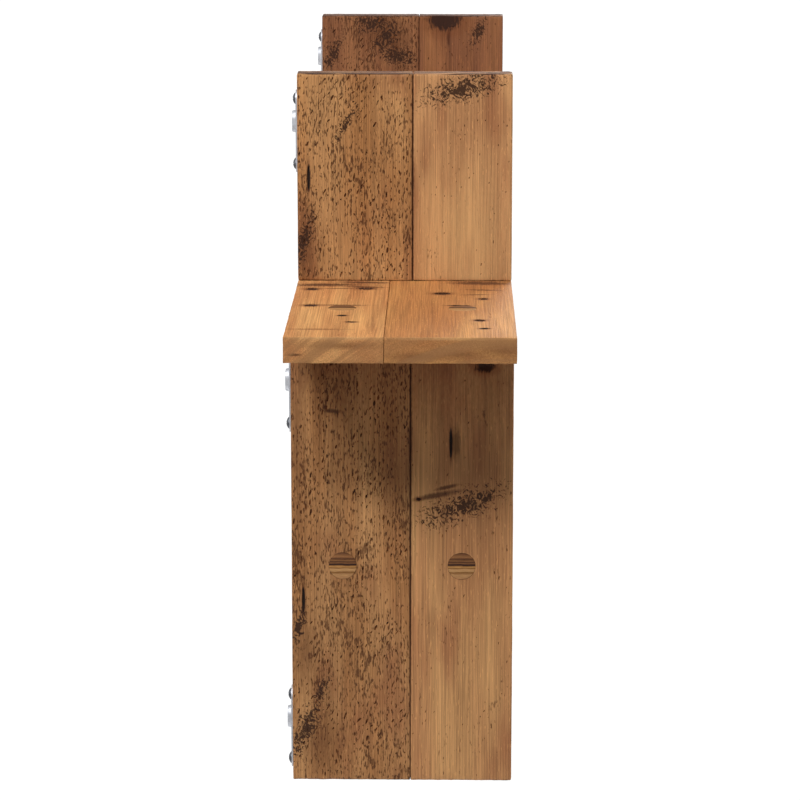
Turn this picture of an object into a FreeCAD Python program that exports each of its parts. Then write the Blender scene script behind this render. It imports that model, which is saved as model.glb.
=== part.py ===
import FreeCAD, Part
import math
import os

# A wall-hung wooden shelf, in millimetres. X runs along the wall, the wall is the plane Y = 0 with the
# shelf in front of it (towards -Y), and Z is up. Z = 0 is half way between the upper and the lower
# keyholes of the lower uprights, and X = 0 is the middle of the shelf.

# Boards
LENGTH = 850.0  # main board, along the wall
DEPTH = 160.0  # every board, from its wall edge to its front edge
BOARD = 18.5  # thickness of every board
UPPER_RISE = 156.0  # upper uprights, above the main board
LOWER_DROP = 333.0  # lower uprights, below the main board
UPPER_INSET = 202.0  # end of the main board to the outer face of an upper upright
LOWER_INSET = 91.0  # end of the main board to the outer face of a lower upright
LOWER_SHELF_AT = 170.0  # underside of the main board to the middle of the lower shelf
SHELF_REAR_PLANK = 69.0  # width of the rear plank of a lying board
UPRIGHT_REAR_PLANK = 86.0  # width of the rear plank of an upright
ARRIS = 0.8  # chamfer along the outer edges of a board
SEAM_V = 0.5  # chamfer on each side of the glued seam between two planks

# Board screws, sunk under wooden plugs
SCREW_FROM_EDGE = 37.0  # wall or front edge of a board to the nearer screw
SCREW_LENGTH = 50.0
SCREW_R = 3.5
SCREW_TIP = 4.0
SCREW_HEAD_R = 5.0
SCREW_HEAD_RIM = 2.0
SCREW_HEAD_CONE = 1.8
SOCKET_ACROSS = 4.0  # hexagon socket, across its flats
SOCKET_DEPTH = 2.4
PLUG_R = 10.0
PLUG_DEPTH = 5.0

# Keyhole hanger plates
SHEET = 1.1
DOME_HEIGHT = 3.9  # wall edge of the upright to the dome's outer face
DOME_DRAFT = 1.0  # how far the dome's wall leans in over its height
DOME_ROUND = 0.5
DOME_MARGIN = 0.7  # flat plate on each side of the dome
DOME_ABOVE_MIDDLE = 7.3  # middle of the plate to the middle of the dome
PLATE_END = 6.5  # hanger screw to the plate's nearer end
ENTRY_R = 4.2  # round hole that passes a wall screw's head
NECK_R = 2.1  # half the width of the slot that holds a wall screw's shank
HEAD_ROOM = 0.5  # round a wall screw's head inside the dome
DROP_ON = 4.0  # how far the shelf drops once it is on its wall screws
TOP_PLATE_DOWN = 41.5  # underside of the main board to the middle of a lower upright's upper plate
FOOT_PLATE_UP = 38.5  # foot of a lower upright to the middle of its lower plate
UPPER_PLATE_DOWN = 44.0  # top of an upper upright to the middle of its plate

# Hanger screws
HANGER_SCREW_SPACING = 49.0
HANGER_SCREW_R = 2.0
HANGER_SCREW_LENGTH = 16.0
HANGER_SCREW_TIP = 3.0
PAN_R = 4.2
PAN_HEIGHT = 2.4
PAN_RIM = 0.8
CROSS_ARM = 2.3
CROSS_WIDTH = 1.0
CROSS_DEPTH = 1.1
SHANK_CLEARANCE = 0.3  # around a hanger screw in its plate

# Places worked out from the sizes above
WALL_EDGE = -DOME_HEIGHT
FRONT_EDGE = WALL_EDGE - DEPTH
DOME_WIDTH = 2 * (ENTRY_R + HEAD_ROOM + SHEET + DOME_DRAFT)
DOME_LENGTH = DOME_WIDTH + DROP_ON
PLATE_WIDTH = DOME_WIDTH + 2 * DOME_MARGIN
PLATE_LENGTH = HANGER_SCREW_SPACING + 2 * PLATE_END
PLATE_TO_ENTRY = DOME_ABOVE_MIDDLE - DROP_ON / 2
ENTRY_SPACING = LOWER_DROP - TOP_PLATE_DOWN - FOOT_PLATE_UP
MAIN_UNDER = ENTRY_SPACING / 2 - PLATE_TO_ENTRY + TOP_PLATE_DOWN
MAIN_TOP = MAIN_UNDER + BOARD
UPPER_END = MAIN_TOP + UPPER_RISE
LOWER_END = MAIN_UNDER - LOWER_DROP
LOWER_SHELF_Z = MAIN_UNDER - LOWER_SHELF_AT
LOWER_X = LENGTH / 2 - LOWER_INSET - BOARD / 2
UPPER_X = LENGTH / 2 - UPPER_INSET - BOARD / 2
SCREW_YS = (WALL_EDGE - SCREW_FROM_EDGE, FRONT_EDGE + SCREW_FROM_EDGE)
SIDES = {"left": -1, "right": 1}
SAME_PLACE = 1e-6  # two numbers closer than this are the same place or direction

UP = FreeCAD.Vector(0, 0, 1)
DOWN = FreeCAD.Vector(0, 0, -1)


def save(name, solids):
    """Writes one node: a single solid, or a group of separate ones."""
    shape = solids[0] if len(solids) == 1 else Part.makeCompound(solids)
    shape.exportStep(f"parts/{name}.step")


def turned(profile):
    """A solid of revolution about Z, from (radius, height) corners given from the axis out and back."""
    corners = [FreeCAD.Vector(r, 0, z) for r, z in profile]
    face = Part.Face(Part.makePolygon(corners + corners[:1]))
    return face.revolve(FreeCAD.Vector(0, 0, 0), UP, 360)


def aimed(shape, head_at, towards):
    """A copy of a fastener drawn with its head at the origin and its tip along -Z, put in its place."""
    placed = shape.copy()
    placed.Placement = FreeCAD.Placement(head_at, FreeCAD.Rotation(DOWN, towards))
    return placed


# Board screws and plugs


def screw_body():
    """The space that a board screw fills: a countersunk head, the threaded shank and its tip."""
    cone_end = SCREW_HEAD_RIM + SCREW_HEAD_CONE
    return turned(
        [
            (0, 0),
            (SCREW_HEAD_R, 0),
            (SCREW_HEAD_R, -SCREW_HEAD_RIM),
            (SCREW_R, -cone_end),
            (SCREW_R, SCREW_TIP - SCREW_LENGTH),
            (0, -SCREW_LENGTH),
        ]
    )


def board_screw():
    """A board screw with its hexagon socket."""
    corner = SOCKET_ACROSS / math.sqrt(3)
    points = [
        FreeCAD.Vector(corner * math.cos(math.radians(a)), corner * math.sin(math.radians(a)), 0)
        for a in range(0, 361, 60)
    ]
    socket = Part.Face(Part.makePolygon(points)).extrude(DOWN * SOCKET_DEPTH)
    return screw_body().cut(socket)


def plug():
    """A wooden plug that fills the hole over a screw head, flush with the board."""
    return Part.makeCylinder(PLUG_R, PLUG_DEPTH, FreeCAD.Vector(0, 0, -PLUG_DEPTH))


def sunk_fixing(face_at, towards):
    """The pocket, screw and plug of one fixing that goes into a board's face and on into a second board."""
    head_at = face_at + towards * PLUG_DEPTH
    return {
        "pocket": aimed(plug(), face_at, towards).fuse(aimed(screw_body(), head_at, towards)),
        "screw": aimed(board_screw(), head_at, towards),
        "plug": aimed(plug(), face_at, towards),
    }


def fixings():
    """Every sunk fixing, by the face that it goes into."""
    groups = {"main_top": [], "main_underside": []}
    for side, sign in SIDES.items():
        outer_x = sign * (LOWER_X + BOARD / 2)
        inwards = FreeCAD.Vector(-sign, 0, 0)
        groups[f"{side}_upright"] = [
            sunk_fixing(FreeCAD.Vector(outer_x, y, LOWER_SHELF_Z), inwards) for y in SCREW_YS
        ]
        for y in SCREW_YS:
            over_lower = FreeCAD.Vector(sign * LOWER_X, y, MAIN_TOP)
            under_upper = FreeCAD.Vector(sign * UPPER_X, y, MAIN_UNDER)
            groups["main_top"].append(sunk_fixing(over_lower, DOWN))
            groups["main_underside"].append(sunk_fixing(under_upper, UP))
    return groups


# Planks


def runs_along(edge, direction):
    """Is this edge straight and in line with a direction?"""
    return (
        isinstance(edge.Curve, Part.Line)
        and abs(abs(edge.tangentAt(edge.FirstParameter).dot(direction)) - 1) < SAME_PLACE
    )


def plank(low, high, grain, seam_y):
    """One plank: a box with an arris on its long outer edges and half of the V on its seam edges."""
    size = high - low
    box = Part.makeBox(size.x, size.y, size.z, low)
    outer = [
        e
        for e in box.Edges
        if runs_along(e, grain) and abs(e.CenterOfMass.y - seam_y) > SAME_PLACE
    ]
    shape = box.makeChamfer(ARRIS, outer)
    at_seam = [
        e
        for e in shape.Edges
        if runs_along(e, grain) and abs(e.CenterOfMass.y - seam_y) <= SAME_PLACE
    ]
    return shape.makeChamfer(SEAM_V, at_seam)


def board_planks(low_x, high_x, low_z, high_z, rear_width, grain):
    """The rear and the front plank of one board, which meet at a glued seam."""
    seam_y = WALL_EDGE - rear_width
    rear = plank(
        FreeCAD.Vector(low_x, seam_y, low_z), FreeCAD.Vector(high_x, WALL_EDGE, high_z), grain, seam_y
    )
    front = plank(
        FreeCAD.Vector(low_x, FRONT_EDGE, low_z), FreeCAD.Vector(high_x, seam_y, high_z), grain, seam_y
    )
    return {"rear": rear, "front": front}


def upright_planks(middle_x, low_z, high_z):
    """The two planks of an upright, whose grain runs up and down."""
    half = BOARD / 2
    return board_planks(middle_x - half, middle_x + half, low_z, high_z, UPRIGHT_REAR_PLANK, UP)


def boards():
    """Every board as its two planks, before it is drilled."""
    grain = FreeCAD.Vector(1, 0, 0)
    half = LENGTH / 2
    inside = LOWER_X - BOARD / 2
    shelf_z = (LOWER_SHELF_Z - BOARD / 2, LOWER_SHELF_Z + BOARD / 2)
    found = {
        "main_shelf": board_planks(-half, half, MAIN_UNDER, MAIN_TOP, SHELF_REAR_PLANK, grain),
        "lower_shelf": board_planks(-inside, inside, *shelf_z, SHELF_REAR_PLANK, grain),
    }
    for side, sign in SIDES.items():
        found[f"lower_{side}_upright"] = upright_planks(sign * LOWER_X, LOWER_END, MAIN_UNDER)
        found[f"upper_{side}_upright"] = upright_planks(sign * UPPER_X, MAIN_TOP, UPPER_END)
    return found


def drilled(shape, tools):
    """A plank without the holes of the fasteners that reach it."""
    near = [t for t in tools if shape.BoundBox.intersect(t.BoundBox)]
    return shape.cut(near).Solids[0] if near else shape


# Hanger plates and their screws


def stadium(half_width, half_length, y):
    """A round-ended outline in a plane parallel to the wall, its length up and down."""
    reach = half_length - half_width
    left, right = -half_width, half_width
    top = Part.Arc(
        FreeCAD.Vector(right, y, reach),
        FreeCAD.Vector(0, y, half_length),
        FreeCAD.Vector(left, y, reach),
    )
    foot = Part.Arc(
        FreeCAD.Vector(left, y, -reach),
        FreeCAD.Vector(0, y, -half_length),
        FreeCAD.Vector(right, y, -reach),
    )
    down = Part.LineSegment(FreeCAD.Vector(left, y, reach), FreeCAD.Vector(left, y, -reach))
    back_up = Part.LineSegment(FreeCAD.Vector(right, y, -reach), FreeCAD.Vector(right, y, reach))
    return Part.Wire([c.toShape() for c in (top, down, foot, back_up)])


def dome_block(inset, low_y, high_y):
    """A leaning-in block with the dome's outline, drawn smaller all round by an inset."""
    towards_wall = FreeCAD.Vector(0, 1, 0)
    lean = DOME_DRAFT / DOME_HEIGHT
    low_r = DOME_WIDTH / 2 - inset - lean * low_y
    high_r = DOME_WIDTH / 2 - inset - lean * high_y
    reach = DROP_ON / 2
    ends = [
        Part.makeCone(low_r, high_r, high_y - low_y, FreeCAD.Vector(0, low_y, z), towards_wall)
        for z in (-reach, reach)
    ]
    corners = [(-low_r, low_y), (low_r, low_y), (high_r, high_y), (-high_r, high_y), (-low_r, low_y)]
    section = Part.makePolygon([FreeCAD.Vector(x, y, -reach) for x, y in corners])
    middle = Part.Face(section).extrude(UP * DROP_ON)
    return middle.fuse(ends).removeSplitter()


def keyhole():
    """The cutter for the keyhole: a round entry with a narrower slot above it."""
    towards_wall = FreeCAD.Vector(0, 1, 0)
    entry_at = FreeCAD.Vector(0, 0, -DROP_ON / 2)
    seat_at = FreeCAD.Vector(0, 0, DROP_ON / 2)
    entry = Part.makeCylinder(ENTRY_R, DOME_HEIGHT, entry_at, towards_wall)
    seat = Part.makeCylinder(NECK_R, DOME_HEIGHT, seat_at, towards_wall)
    neck = Part.makeBox(2 * NECK_R, DOME_HEIGHT, DROP_ON, entry_at - FreeCAD.Vector(NECK_R, 0, 0))
    return entry.fuse([seat, neck])


def hanger_plate():
    """A pressed keyhole plate, its middle at the origin and its back on the plane Y = 0 of the wood."""
    towards_wall = FreeCAD.Vector(0, 1, 0)
    lift = FreeCAD.Vector(0, 0, DOME_ABOVE_MIDDLE)
    outline = stadium(PLATE_WIDTH / 2, PLATE_LENGTH / 2, 0)
    flange = Part.Face(outline).extrude(towards_wall * SHEET)
    outer = dome_block(0, 0, DOME_HEIGHT)
    rim = [e for e in outer.Edges if abs(e.CenterOfMass.y - DOME_HEIGHT) < SAME_PLACE]
    outer = outer.makeFillet(DOME_ROUND, rim)
    inner = dome_block(SHEET, 0, DOME_HEIGHT - SHEET)
    cutter = keyhole()
    for shape in (outer, inner, cutter):
        shape.translate(lift)
    holes = [
        Part.makeCylinder(
            HANGER_SCREW_R + SHANK_CLEARANCE, SHEET, FreeCAD.Vector(0, 0, z), towards_wall
        )
        for z in (-HANGER_SCREW_SPACING / 2, HANGER_SCREW_SPACING / 2)
    ]
    return flange.fuse(outer).removeSplitter().cut([inner, cutter, *holes])


def hanger_screw_body():
    """A pan-head wood screw with no recess, its head's underside at the origin and its tip along -Z."""
    crown = math.sqrt(PAN_R**2 + (PAN_HEIGHT - PAN_RIM) ** 2)
    head = Part.makeCylinder(PAN_R, PAN_HEIGHT)
    ball_r = crown**2 / (2 * (PAN_HEIGHT - PAN_RIM))
    ball = Part.makeSphere(ball_r, FreeCAD.Vector(0, 0, PAN_HEIGHT - ball_r))
    shank = turned(
        [
            (0, SHEET / 2),
            (HANGER_SCREW_R, SHEET / 2),
            (HANGER_SCREW_R, HANGER_SCREW_TIP - HANGER_SCREW_LENGTH),
            (0, -HANGER_SCREW_LENGTH),
        ]
    )
    return head.common(ball).fuse(shank)


def hanger_screw():
    """A pan-head wood screw with its cross recess."""
    arms = []
    for size_x, size_y in ((CROSS_ARM, CROSS_WIDTH / 2), (CROSS_WIDTH / 2, CROSS_ARM)):
        corner = FreeCAD.Vector(-size_x, -size_y, PAN_HEIGHT - CROSS_DEPTH)
        arms.append(Part.makeBox(2 * size_x, 2 * size_y, PAN_HEIGHT, corner))
    return hanger_screw_body().cut(arms)


def hangers():
    """Each plate's node name and the place of its middle on the wall edge of its upright."""
    found = {}
    for side, sign in SIDES.items():
        lower_top = FreeCAD.Vector(sign * LOWER_X, WALL_EDGE, MAIN_UNDER - TOP_PLATE_DOWN)
        lower_foot = FreeCAD.Vector(sign * LOWER_X, WALL_EDGE, LOWER_END + FOOT_PLATE_UP)
        upper = FreeCAD.Vector(sign * UPPER_X, WALL_EDGE, UPPER_END - UPPER_PLATE_DOWN)
        found[f"hanger_lower_{side}_top"] = lower_top
        found[f"hanger_lower_{side}_foot"] = lower_foot
        found[f"hanger_upper_{side}"] = upper
    return found


def main():
    os.makedirs("parts", exist_ok=True)
    sunk = fixings()
    pockets = [f["pocket"] for group in sunk.values() for f in group]

    from_wall = FreeCAD.Vector(0, -1, 0)
    plate = hanger_plate()
    plates = hangers()
    screws = {"upper": [], "lower": []}
    shanks = []
    for name, middle in plates.items():
        save(name, [plate.translated(middle)])
        for z in (-HANGER_SCREW_SPACING / 2, HANGER_SCREW_SPACING / 2):
            seat = middle + FreeCAD.Vector(0, SHEET, z)
            level = "upper" if "upper" in name else "lower"
            screws[level].append(aimed(hanger_screw(), seat, from_wall))
            shanks.append(aimed(hanger_screw_body(), seat, from_wall))
    for level, group in screws.items():
        save(f"{level}_hanger_screws", group)

    for name, planks in boards().items():
        for place, shape in planks.items():
            save(f"{name}_{place}_plank", [drilled(shape, pockets + shanks)])

    save("main_to_lower_screws", [f["screw"] for f in sunk["main_top"]])
    save("main_to_upper_screws", [f["screw"] for f in sunk["main_underside"]])
    save("lower_shelf_screws", [f["screw"] for s in SIDES for f in sunk[f"{s}_upright"]])
    for face, group in sunk.items():
        save(f"{face}_plugs", [f["plug"] for f in group])


main()
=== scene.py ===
"""Looks of a reclaimed-wood wall shelf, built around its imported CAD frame.

Two long shelves and four uprights, each glued up from a rear and a front plank, are cut again here with worn
arrises, saw relief, worm flecks, knots and plugs. Plates and screws keep their CAD meshes and get steel
finishes.
"""

import logging
import math
import random
from dataclasses import dataclass
from dataclasses import field
from dataclasses import replace
from enum import Enum
from typing import ClassVar

import bpy
import numpy as np
from mathutils import Euler
from mathutils import Matrix
from mathutils import Vector
from mathutils import noise


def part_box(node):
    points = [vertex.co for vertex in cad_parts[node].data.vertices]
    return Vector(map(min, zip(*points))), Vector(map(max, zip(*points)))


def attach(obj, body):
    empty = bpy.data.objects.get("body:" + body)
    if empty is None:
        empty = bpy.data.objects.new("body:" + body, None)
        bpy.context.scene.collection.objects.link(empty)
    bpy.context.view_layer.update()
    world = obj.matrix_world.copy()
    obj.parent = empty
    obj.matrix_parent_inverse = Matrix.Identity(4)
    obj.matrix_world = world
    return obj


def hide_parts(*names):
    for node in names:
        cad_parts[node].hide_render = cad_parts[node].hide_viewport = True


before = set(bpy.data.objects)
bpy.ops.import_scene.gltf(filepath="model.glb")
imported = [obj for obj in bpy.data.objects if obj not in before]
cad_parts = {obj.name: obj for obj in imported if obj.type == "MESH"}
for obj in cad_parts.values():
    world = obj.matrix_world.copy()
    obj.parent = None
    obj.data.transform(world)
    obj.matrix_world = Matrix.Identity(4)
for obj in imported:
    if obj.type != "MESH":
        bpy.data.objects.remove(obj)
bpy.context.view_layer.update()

log = logging.getLogger("shelf")

MM = 0.001
CELL = 2.0  # mm, the mesh's cells on a plank's faces
RAGGED = (0.6, 1.16)  # least and most that a fleck's corners are pulled in or out
SCREW_FROM_EDGE = 37.0  # mm, wall or front edge of a board to the nearer plug
PLUG_RADIUS = 10.0  # mm
PLUG_GAP = 0.12  # mm, dark line round a plug
PLUG_SIDES = 72
POCKET_DEPTH = 5.0  # mm, as deep as a plug is thick
POCKET_OVER = 2.0  # mm, the bore's tool stands this far out of the face
SHARP = math.radians(60)  # an edge at least this sharp is an arris
SMOOTH_TO = math.radians(35)  # faces that meet at less than this are shaded as one

Colour = tuple[float, float, float, float]
Triple = tuple[float, float, float]
Socket = bpy.types.NodeSocket
Tree = bpy.types.NodeTree


# ---------------------------------------------------------------- small helpers


def linear(code: str) -> Colour:
    """Turn an sRGB hex colour into linear RGBA.

    Args:
        code: Six hex digits, without a hash.

    Returns:
        The linear colour with full opacity.
    """
    parts = [int(code[at : at + 2], 16) / 255 for at in (0, 2, 4)]
    red, green, blue = (
        part / 12.92 if part <= 0.04045 else ((part + 0.055) / 1.055) ** 2.4
        for part in parts
    )
    return red, green, blue, 1.0


def add_node(tree: Tree, kind: str, sockets: dict | None = None, **settings: object) -> bpy.types.Node:
    """Add a node with its settings, values and links.

    Args:
        tree: The node tree to add to.
        kind: The node's type name, without "ShaderNode" in front.
        sockets: Input name or number to a value, to the output that feeds it, or to a node whose
            first output does.
        settings: The node's own properties.

    Returns:
        The new node.
    """
    node = tree.nodes.new(kind if kind.startswith("NodeGroup") else "ShaderNode" + kind)
    for name, value in settings.items():
        setattr(node, name, value)
    for place, value in (sockets or {}).items():
        if isinstance(value, bpy.types.Node):
            value = value.outputs[0]
        if isinstance(value, Socket):
            tree.links.new(value, node.inputs[place])
        else:
            node.inputs[place].default_value = value
    return node


def bare_material(name: str) -> bpy.types.Material:
    """Start a new material.

    Args:
        name: Its name.

    Returns:
        The material, with an empty node tree.
    """
    material = bpy.data.materials.new(name)
    material.use_nodes = True
    material.node_tree.nodes.clear()
    return material


def only(piece: bpy.types.Object) -> None:
    """Select one object alone and make it active.

    Args:
        piece: The object.
    """
    bpy.ops.object.select_all(action="DESELECT")
    piece.select_set(True)
    bpy.context.view_layer.objects.active = piece


def apply_all(piece: bpy.types.Object) -> None:
    """Apply every modifier on a piece, in order.

    Args:
        piece: The object.
    """
    only(piece)
    for modifier in list(piece.modifiers):
        bpy.ops.object.modifier_apply(modifier=modifier.name)


def stamped(shape: bpy.types.Mesh, places: list[Matrix], name: str) -> bpy.types.Object:
    """Make one object that holds a copy of a closed shape at every place, each with its own ragged outline.

    Args:
        shape: The shape that repeats.
        places: A matrix for each copy, in metres.
        name: The object's name.

    Returns:
        The object, with its faces pointing outwards.
    """
    corners = np.array([vertex.co for vertex in shape.vertices], float)
    faces = [list(face.vertices) for face in shape.polygons]
    points: list[np.ndarray] = []
    loops: list[list[int]] = []
    draw = np.random.default_rng(len(places))
    for copy, place in enumerate(places):
        turned = np.array(place, float)
        ragged = corners * draw.uniform(*RAGGED, (len(corners), 1))
        points.append(ragged @ turned[:3, :3].T + turned[:3, 3])
        loops.extend([corner + copy * len(corners) for corner in face] for face in faces)
    mesh = bpy.data.meshes.new(name)
    mesh.from_pydata(np.concatenate(points).tolist(), [], loops)
    made = bpy.data.objects.new(name, mesh)
    bpy.context.scene.collection.objects.link(made)
    only(made)
    bpy.ops.object.mode_set(mode="EDIT")
    bpy.ops.mesh.select_all(action="SELECT")
    bpy.ops.mesh.normals_make_consistent(inside=False)
    bpy.ops.object.mode_set(mode="OBJECT")
    return made


def carve(piece: bpy.types.Object, cutter: bpy.types.Object) -> None:
    """Cut one object out of another, carry its material over, and remove it.

    Args:
        piece: What is cut.
        cutter: What it is cut with.
    """
    cut = piece.modifiers.new("carve", "BOOLEAN")
    cut.operation = "DIFFERENCE"
    cut.solver = "MANIFOLD"
    cut.material_mode = "TRANSFER"
    cut.object = cutter
    apply_all(piece)
    bpy.data.objects.remove(cutter)


def hand_over(piece: bpy.types.Object, node: str) -> None:
    """Shade a finished piece and let it stand for its CAD node.

    Args:
        piece: The finished piece.
        node: The CAD node.
    """
    only(piece)
    bpy.ops.object.shade_smooth_by_angle(angle=SMOOTH_TO)
    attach(piece, "root")
    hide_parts(node)


def ball() -> bpy.types.Mesh:
    """Make the closed ball that worm flecks, knots and slits are cut with, flattened as each needs.

    Returns:
        A mesh of radius 1 with few faces.
    """
    bpy.ops.object.select_all(action="DESELECT")
    bpy.ops.mesh.primitive_uv_sphere_add(segments=8, ring_count=5, radius=1, location=(0, 0, 0))
    made = bpy.context.object
    mesh = made.data
    bpy.data.objects.remove(made)
    return mesh


# ---------------------------------------------------------------- marks in the wood


class MarkKind(Enum):
    """The kinds of placed mark."""

    KNOT = "knot"
    SLIT = "slit"
    STAIN = "stain"
    SCRIBBLE = "scribble"
    OLIVE = "olive"
    STREAK = "streak"
    PALE = "pale"


@dataclass(frozen=True)
class Mark:
    """A mark placed on a plank, in mm: along the grain, and across from the wall edge of the boards.

    Uprights measure along from their top end down, shelves from their left end.
    """

    kind: MarkKind
    along: float
    across: float
    length: float
    width: float
    tilt: float = 0.0  # degrees from the grain
    depth: float = 1.0  # how deep a knot or slit is sunk
    far_face: bool = False  # on a shelf's underside, or an upright's right-hand face
    into: float = 0.0  # its middle, measured into the wood
    reach: float = 5.0  # how far its colour goes into the wood


@dataclass(frozen=True)
class FleckField:
    """Dark worm flecks cut into a broad face, in mm, on a jittered lattice so that none overlap."""

    pitch: tuple[float, float] = (7.0, 3.1)
    jitter: tuple[float, float] = (0.12, 0.18)  # of a lattice cell
    keep: float = 0.37  # share of the lattice's places that have a fleck
    length: tuple[float, float] = (1.2, 6.9)
    width: tuple[float, float] = (0.6, 2.1)
    depth: float = 0.7
    lean: float = -13.0  # degrees from the grain
    lean_spread: float = 9.0  # degrees, from fleck to fleck
    lean_swing: float = 26.0  # degrees, over a stretch of the size below
    swing_size: tuple[float, float] = (45.0, 28.0)
    crowd_size: tuple[float, float] = (34.0, 15.0)  # one patch of crowded flecks
    end_margin: float = 4.0


FEW = FleckField(keep=0.06, length=(1.0, 3.8), width=(0.5, 1.1))


class Lie(Enum):
    """Which way a plank's grain runs."""

    LEVEL = "level"
    UPRIGHT = "upright"


# ---------------------------------------------------------------- finishes


@dataclass(frozen=True)
class WoodFinish:
    """Planed reclaimed softwood with a thin matt oil: warm, dull, streaked along the grain."""

    name: str
    light: str = "C99560"
    middle: str = "AD7847"
    red: str = "96603C"
    dark: str = "633C20"
    fleck: str = "4A2812"
    flecks: float = 0.5
    stripes: float = 0.4
    ring_gap: float = 4.5
    pith: tuple[float, float] = (60.0, 210.0)
    seed: float = 0.0
    end: str = "351A0C"
    end_share: float = 1.0


class GrainGroup:
    """The shared grain pattern of every plank, on coordinates in mm along, across and into the plank."""

    NAME = "reclaimed_softwood_grain"
    HAIR = (1 / 95, 1 / 0.8, 1 / 0.8)  # fibres 0.8 mm wide, coarser than real ones so that they show
    TONE = (1 / 150, 1 / 20, 1 / 20)  # patches of sap and heart wood
    REDNESS = (1 / 90, 1 / 30, 1 / 30)  # patches that age has reddened
    BEND = (1 / 120, 1 / 30, 1 / 30)  # how the grain wanders
    STRIPE = 420  # mm, how long one growth stripe stays even
    FLECKS = (1 / 4.2, 1 / 1.2, 1 / 1.2)  # worm flecks, 4.2 x 1.2 mm
    BLOTS = (1 / 10.0, 1 / 3.0, 1 / 3.0)  # where several flecks run together
    CROWD = (1 / 40, 1 / 15, 1 / 15)  # where flecks are many
    HIGHLIGHT_SPECKS = (1 / 6.5, 1 / 0.85, 1 / 0.85)  # painted highlights: pale specks among the flecks, standing in for light caught on raised fibres

    def __init__(self) -> None:
        """Build the group once."""
        self.tree = bpy.data.node_groups.new(self.NAME, "ShaderNodeTree")
        face = self.tree.interface
        floats = ("Seed", "Flecks", "Stripes", "Ring Gap")
        colours = ("Light", "Middle", "Red", "Dark", "Fleck")
        for names, way, kind in (
            (("Place",), "INPUT", "Vector"),
            (floats, "INPUT", "Float"),
            (("Pith",), "INPUT", "Vector"),
            (colours, "INPUT", "Color"),
            (("Color",), "OUTPUT", "Color"),
            (("Height", "Ring"), "OUTPUT", "Float"),
        ):
            for name in names:
                face.new_socket(name, in_out=way, socket_type="NodeSocket" + kind)
        self._layers()

    def _fibres(
        self, place: bpy.types.Node, stretch: Triple, detail: float, rough: float = 0.5
    ) -> Socket:
        """Lay a noise stretched along the grain.

        Args:
            place: Coordinates in mm.
            stretch: Scale along, across and into the plank, per mm.
            detail: The noise's detail.
            rough: The noise's roughness.

        Returns:
            The noise's value.
        """
        scaled = add_node(self.tree, "VectorMath", {0: place, 1: stretch}, operation="MULTIPLY")
        sockets = {"Vector": scaled, "Scale": 1.0, "Detail": detail, "Roughness": rough}
        return add_node(self.tree, "TexNoise", sockets).outputs[0]

    def _layers(self) -> None:
        """Lay out the group's nodes: bent coordinates, growth rings, tones, then worm flecks and painted
        highlight specks.
        """
        tree = self.tree
        given = add_node(tree, "NodeGroupInput").outputs
        lift = add_node(tree, "Math", {0: given["Seed"], 1: 37.0}, operation="MULTIPLY")
        shift = add_node(tree, "CombineXYZ", {0: lift, 1: lift, 2: lift})
        moved = add_node(tree, "VectorMath", {0: given["Place"], 1: shift}, operation="ADD")
        scaled = add_node(tree, "VectorMath", {0: moved, 1: self.BEND}, operation="MULTIPLY")
        bend = add_node(tree, "TexNoise", {"Vector": scaled, "Scale": 1.0, "Detail": 2.0, "Roughness": 0.5})
        sockets = {0: bend.outputs["Color"], 1: (0.5, 0.5, 0.5)}
        level = add_node(tree, "VectorMath", sockets, operation="SUBTRACT")
        sway = add_node(tree, "VectorMath", {0: level, 1: (0.0, 4.0, 4.0)}, operation="MULTIPLY")
        bent = add_node(tree, "VectorMath", {0: moved, 1: sway}, operation="ADD")
        ring = self._rings(given, sway)

        hair = self._fibres(bent, self.HAIR, 3.0, 0.65)
        stripes = add_node(tree, "Math", {0: ring, 1: given["Stripes"]}, operation="MULTIPLY")
        tone = {0: self._fibres(bent, self.TONE, 3.0), 1: 0.3, 2: 0.7}
        redness = {0: self._fibres(bent, self.REDNESS, 2.0), 1: 0.5, 2: 0.7, 4: 0.75}
        tone = add_node(tree, "MapRange", tone, interpolation_type="SMOOTHSTEP")
        redness = add_node(tree, "MapRange", redness, interpolation_type="SMOOTHSTEP")
        colour = given["Middle"]
        for share, name in ((tone, "Light"), (redness, "Red"), (stripes, "Dark")):
            colour = add_node(tree, "Mix", {0: share, 6: colour, 7: given[name]}, data_type="RGBA").outputs[2]
        sockets = {0: hair, 1: 0.3, 2: 0.7, 3: 0.72, 4: 1.24}
        shade = add_node(tree, "MapRange", sockets, interpolation_type="SMOOTHSTEP")
        grey = add_node(tree, "CombineXYZ", {0: shade, 1: shade, 2: shade})
        colour = add_node(tree, "VectorMath", {0: colour, 1: grey}, operation="MULTIPLY")

        fleck = self._worming(given, bent)
        # painted highlights: pale specks mixed into the colour, standing in for light caught on raised fibres
        # by the flecks
        sockets = {0: self._fibres(bent, self.HIGHLIGHT_SPECKS, 1.0), 1: 0.64, 2: 0.74, 4: 0.42}
        painted_highlights = add_node(tree, "MapRange", sockets, interpolation_type="SMOOTHSTEP")
        pale = add_node(tree, "VectorMath", {0: given["Light"], 1: (1.35, 1.3, 1.2)}, operation="MULTIPLY")
        strong = add_node(tree, "Math", {0: fleck, 1: 0.84}, operation="MULTIPLY")
        for share, tint in ((painted_highlights, pale), (strong, given["Fleck"])):
            colour = add_node(tree, "Mix", {0: share, 6: colour, 7: tint}, data_type="RGBA").outputs[2]

        high = add_node(tree, "Math", {0: ring, 1: -0.25, 2: hair}, operation="MULTIPLY_ADD")
        height = add_node(tree, "Math", {0: fleck, 1: -1.2, 2: high}, operation="MULTIPLY_ADD")
        add_node(tree, "NodeGroupOutput", {"Color": colour, "Height": height, "Ring": ring})

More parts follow.
